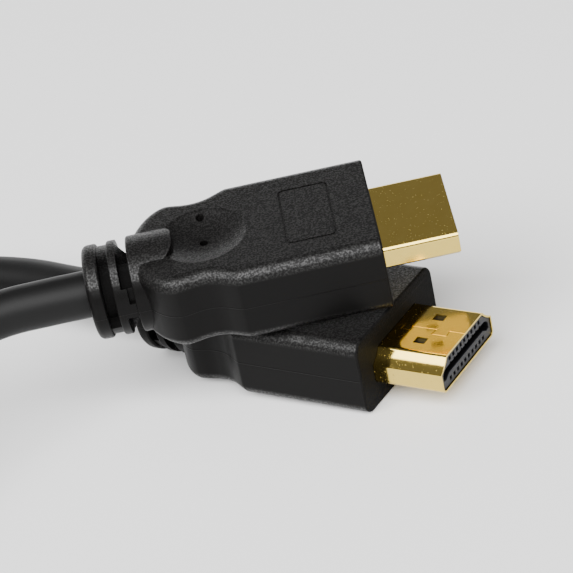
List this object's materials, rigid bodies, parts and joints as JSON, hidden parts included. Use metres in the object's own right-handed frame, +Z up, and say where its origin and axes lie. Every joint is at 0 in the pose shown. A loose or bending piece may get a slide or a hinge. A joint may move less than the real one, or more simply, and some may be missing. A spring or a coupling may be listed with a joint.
{
  "type": "audio and video cable",
  "caption": "Black round audio and video cable with a gold plated flat plug in a waisted black grip at each end, lying plug on plug with its cord coiled behind.",
  "frame": {"origin": "on the floor under the middle of the bounding box of the two plugs", "axes": "+Z up from the floor, +X to the right of the picture along the plugs' longer side, +Y away from the camera"},
  "size_m": [0.1572, 0.0844, 0.0237],
  "materials": {
    "moulding_black": "fine spark texture, soft sheen",
    "shell_gold": "polished gold plating",
    "insulator_black": "satin",
    "contact_gold": "polished gold plating",
    "cord_black": "smooth satin jacket"
  },
  "bodies": {
    "root": {"lower_plug_moulding": "moulding_black", "lower_plug_shell": "shell_gold", "lower_plug_insulator": "insulator_black", "lower_plug_contact_01": "contact_gold", "lower_plug_contact_02": "contact_gold", "lower_plug_contact_03": "contact_gold", "lower_plug_contact_04": "contact_gold", "lower_plug_contact_05": "contact_gold", "lower_plug_contact_06": "contact_gold", "lower_plug_contact_07": "contact_gold", "lower_plug_contact_08": "contact_gold", "lower_plug_contact_09": "contact_gold", "lower_plug_contact_10": "contact_gold", "lower_plug_contact_11": "contact_gold", "lower_plug_contact_12": "contact_gold", "lower_plug_contact_13": "contact_gold", "lower_plug_contact_14": "contact_gold", "lower_plug_contact_15": "contact_gold", "lower_plug_contact_16": "contact_gold", "lower_plug_contact_17": "contact_gold", "lower_plug_contact_18": "contact_gold", "lower_plug_contact_19": "contact_gold", "upper_plug_moulding": "moulding_black", "upper_plug_shell": "shell_gold", "upper_plug_insulator": "insulator_black", "upper_plug_contact_01": "contact_gold", "upper_plug_contact_02": "contact_gold", "upper_plug_contact_03": "contact_gold", "upper_plug_contact_04": "contact_gold", "upper_plug_contact_05": "contact_gold", "upper_plug_contact_06": "contact_gold", "upper_plug_contact_07": "contact_gold", "upper_plug_contact_08": "contact_gold", "upper_plug_contact_09": "contact_gold", "upper_plug_contact_10": "contact_gold", "upper_plug_contact_11": "contact_gold", "upper_plug_contact_12": "contact_gold", "upper_plug_contact_13": "contact_gold", "upper_plug_contact_14": "contact_gold", "upper_plug_contact_15": "contact_gold", "upper_plug_contact_16": "contact_gold", "upper_plug_contact_17": "contact_gold", "upper_plug_contact_18": "contact_gold", "upper_plug_contact_19": "contact_gold", "cord_upper_end": "cord_black", "cord_lower_end": "cord_black", "cord_coil": "cord_black"}
  },
  "joints": []
}
